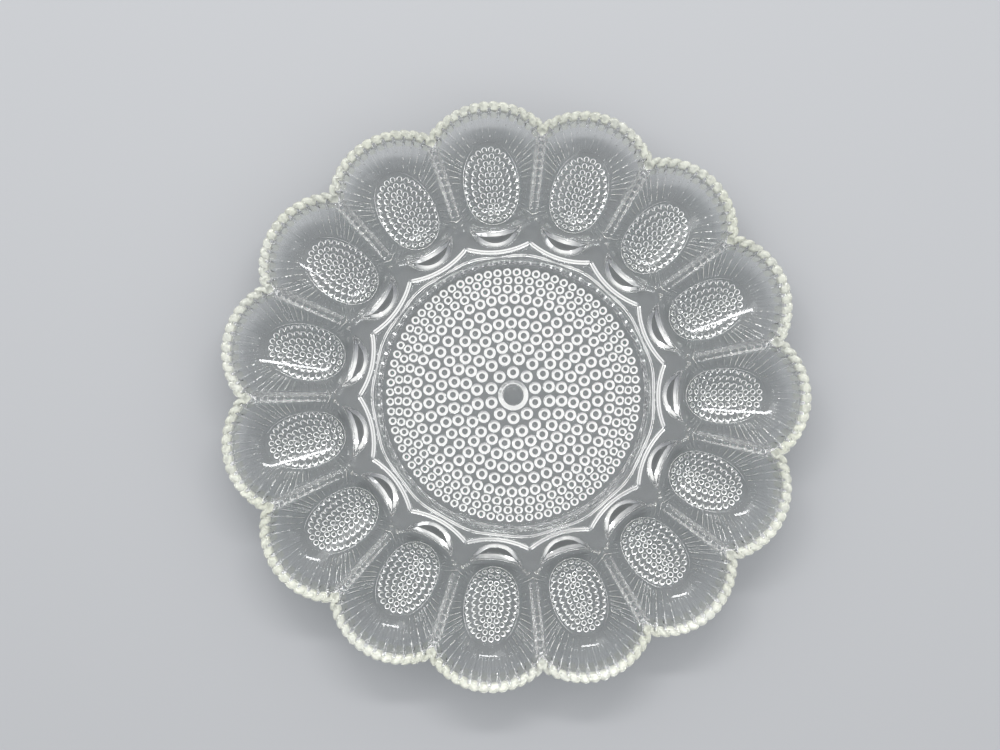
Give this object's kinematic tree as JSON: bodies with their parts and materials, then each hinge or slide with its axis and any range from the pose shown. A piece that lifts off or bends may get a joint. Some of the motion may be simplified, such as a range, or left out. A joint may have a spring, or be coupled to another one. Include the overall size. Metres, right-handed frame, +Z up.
{
  "type": "deviled egg platter",
  "caption": "Round pressed-glass platter with a hobnailed centre dish, a ring of egg wells and a scalloped, toothed rim, standing on crescent feet.",
  "frame": {"origin": "centre of the platter on the plane that its feet stand on", "axes": "+Z up through the middle of the dish, +X out along the first egg well"},
  "size_m": [0.2777, 0.2788, 0.03],
  "materials": {
    "clear_glass": "clear, fire-polished pressed glass",
    "rim_glass": "clear pressed glass with a faint green cast where it is seen edge on"
  },
  "bodies": {
    "root": {"centre_dish": "clear_glass", "centre_button": "clear_glass", "dish_hobnails": "clear_glass", "dish_ridge": "clear_glass", "crescent_feet": "clear_glass", "egg_well_01": "clear_glass", "egg_well_02": "clear_glass", "egg_well_03": "clear_glass", "egg_well_04": "clear_glass", "egg_well_05": "clear_glass", "egg_well_06": "clear_glass", "egg_well_07": "clear_glass", "egg_well_08": "clear_glass", "egg_well_09": "clear_glass", "egg_well_10": "clear_glass", "egg_well_11": "clear_glass", "egg_well_12": "clear_glass", "egg_well_13": "clear_glass", "egg_well_14": "clear_glass", "egg_well_15": "clear_glass", "well_hobnails_01": "clear_glass", "well_hobnails_02": "clear_glass", "well_hobnails_03": "clear_glass", "well_hobnails_04": "clear_glass", "well_hobnails_05": "clear_glass", "well_hobnails_06": "clear_glass", "well_hobnails_07": "clear_glass", "well_hobnails_08": "clear_glass", "well_hobnails_09": "clear_glass", "well_hobnails_10": "clear_glass", "well_hobnails_11": "clear_glass", "well_hobnails_12": "clear_glass", "well_hobnails_13": "clear_glass", "well_hobnails_14": "clear_glass", "well_hobnails_15": "clear_glass", "rim_scallop_01": "rim_glass", "rim_scallop_02": "rim_glass", "rim_scallop_03": "rim_glass", "rim_scallop_04": "rim_glass", "rim_scallop_05": "rim_glass", "rim_scallop_06": "rim_glass", "rim_scallop_07": "rim_glass", "rim_scallop_08": "rim_glass", "rim_scallop_09": "rim_glass", "rim_scallop_10": "rim_glass", "rim_scallop_11": "rim_glass", "rim_scallop_12": "rim_glass", "rim_scallop_13": "rim_glass", "rim_scallop_14": "rim_glass", "rim_scallop_15": "rim_glass"}
  },
  "joints": []
}
